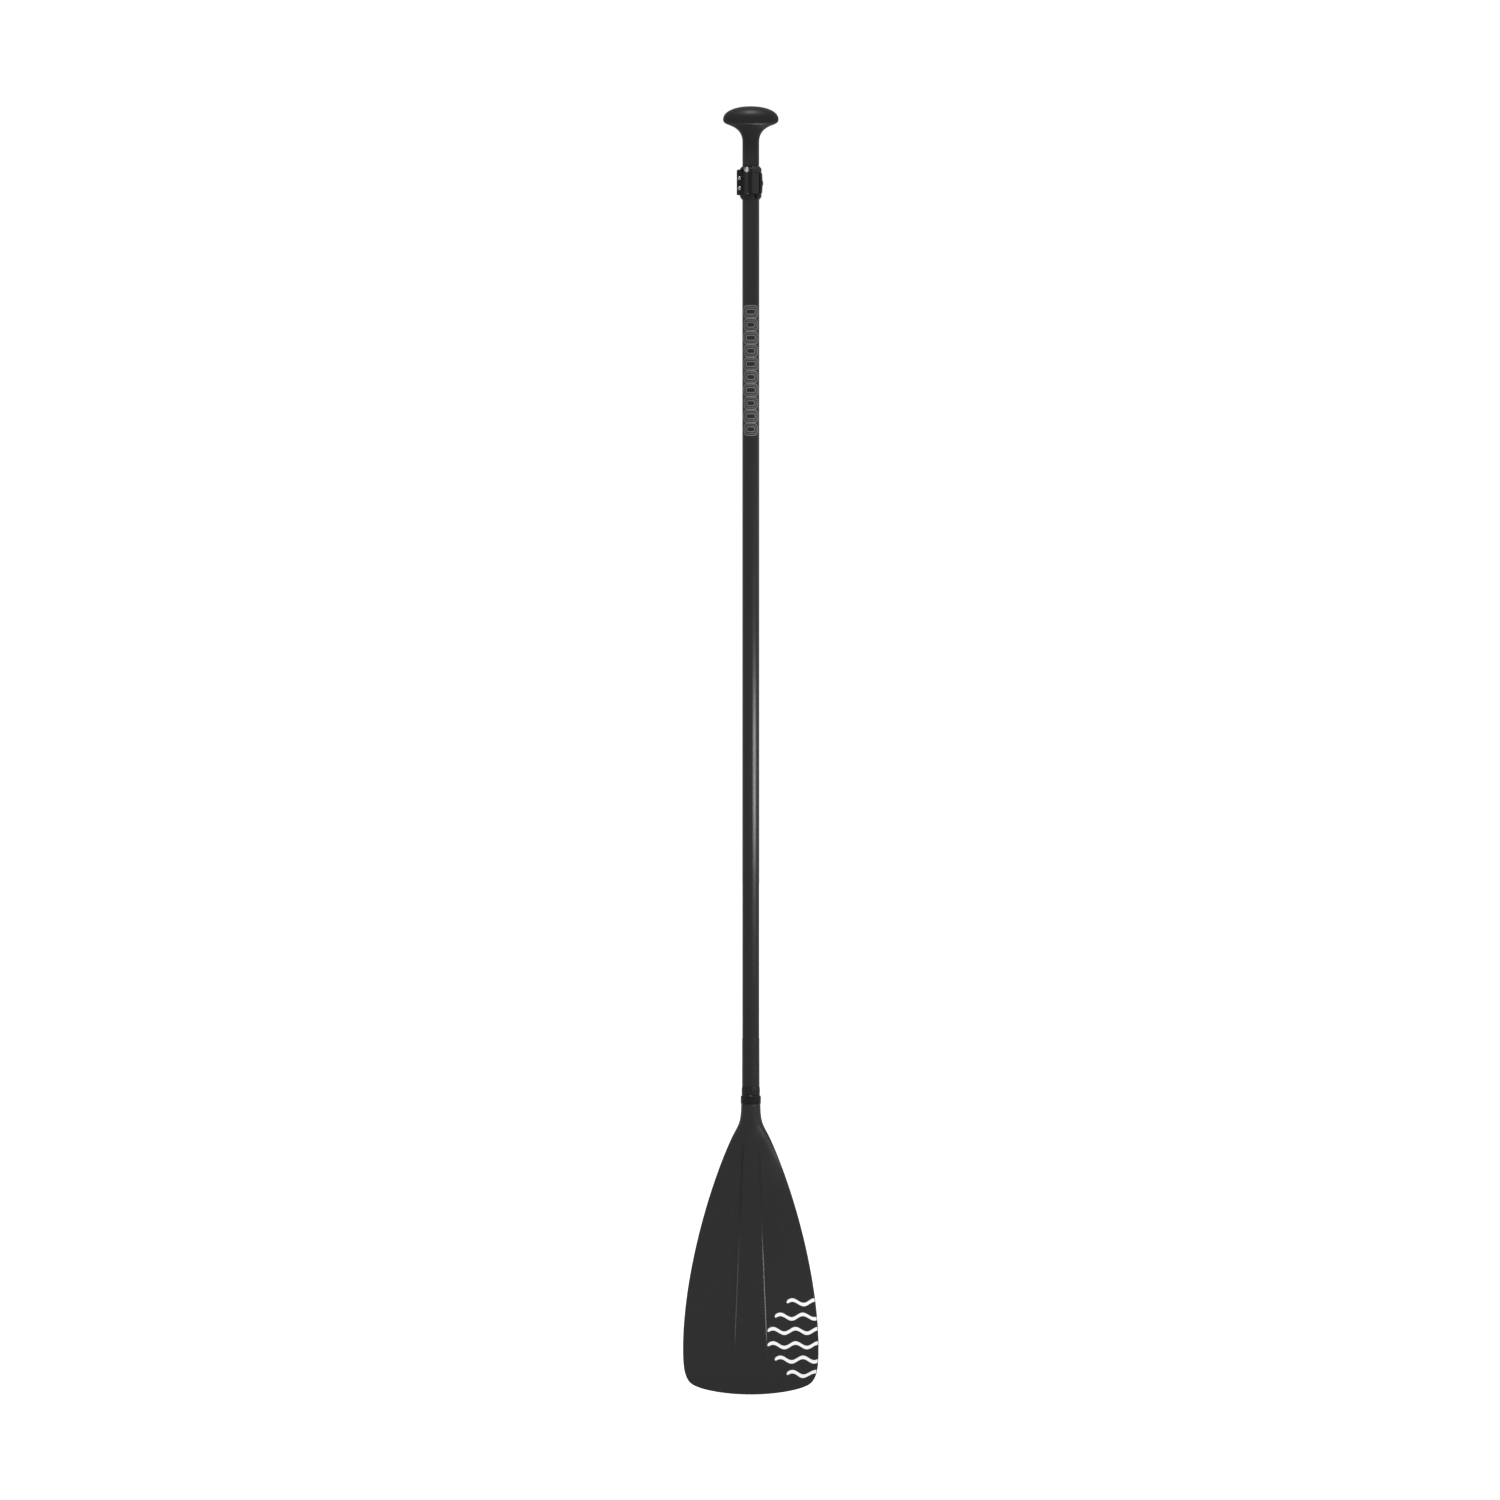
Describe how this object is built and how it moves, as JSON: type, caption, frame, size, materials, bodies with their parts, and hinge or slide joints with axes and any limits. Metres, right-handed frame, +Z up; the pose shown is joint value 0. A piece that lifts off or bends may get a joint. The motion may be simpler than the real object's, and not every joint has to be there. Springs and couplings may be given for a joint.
{
  "type": "adjustable single blade paddle",
  "caption": "Long single blade paddle for standing paddling, with a palm grip, a telescopic shaft locked by a cam lever clamp, and a canted, spined plastic blade.",
  "frame": {"origin": "on the shaft's axis, 950 mm above the tip of the blade, where a hand or a rack clip holds the paddle", "axes": "+Z up the shaft towards the grip, +X to the right of somebody facing the printed side of the blade, -Y out of that printed side, towards which the blade leans"},
  "size_m": [0.2044, 0.0767, 1.9412],
  "materials": {
    "grip_plastic": "satin",
    "blade_plastic": "satin",
    "clamp_plastic": "gloss",
    "shaft_tube": "satin",
    "rubber": "matte",
    "bush_plastic": "matte",
    "foam": "matte",
    "steel": "satin",
    "rivet_alloy": "satin"
  },
  "bodies": {
    "shaft_and_blade": {"main_shaft": "shaft_tube", "shaft_foam_plug": "foam", "shaft_end_bung": "rubber", "clamp_collar": "clamp_plastic", "lever_pivot_pin": "steel", "cam_plate": "steel", "clamp_screw_upper": "steel", "clamp_screw_lower": "steel", "screw_washer_upper": "steel", "screw_washer_lower": "steel", "shrink_sleeve": "rubber", "neck_seal": "rubber", "neck_ring": "clamp_plastic", "blade": "blade_plastic", "blade_rivet": "rivet_alloy"},
    "lever": {"clamp_lever": "clamp_plastic"},
    "slide_bush": {"guide_bush": "bush_plastic"},
    "grip_and_extension": {"palm_grip": "grip_plastic", "grip_rivet": "rivet_alloy", "extension_tube": "shaft_tube"}
  },
  "joints": [
    {"name": "lever_pivot", "type": "hinge", "parent": "shaft_and_blade", "child": "lever", "pos_m": [-0.017, 0.0145, 0.875], "axis": [0, 0, 1], "range_deg": [0, 150]},
    {"name": "extension_slide", "type": "slide", "parent": "shaft_and_blade", "child": "slide_bush", "axis": [0, 0, 1], "range_m": [0, 0.3]},
    {"name": "extension_twist", "type": "hinge", "parent": "slide_bush", "child": "grip_and_extension", "pos_m": [0, 0, 0.49], "axis": [0, 0, 1], "continuous": true}
  ]
}
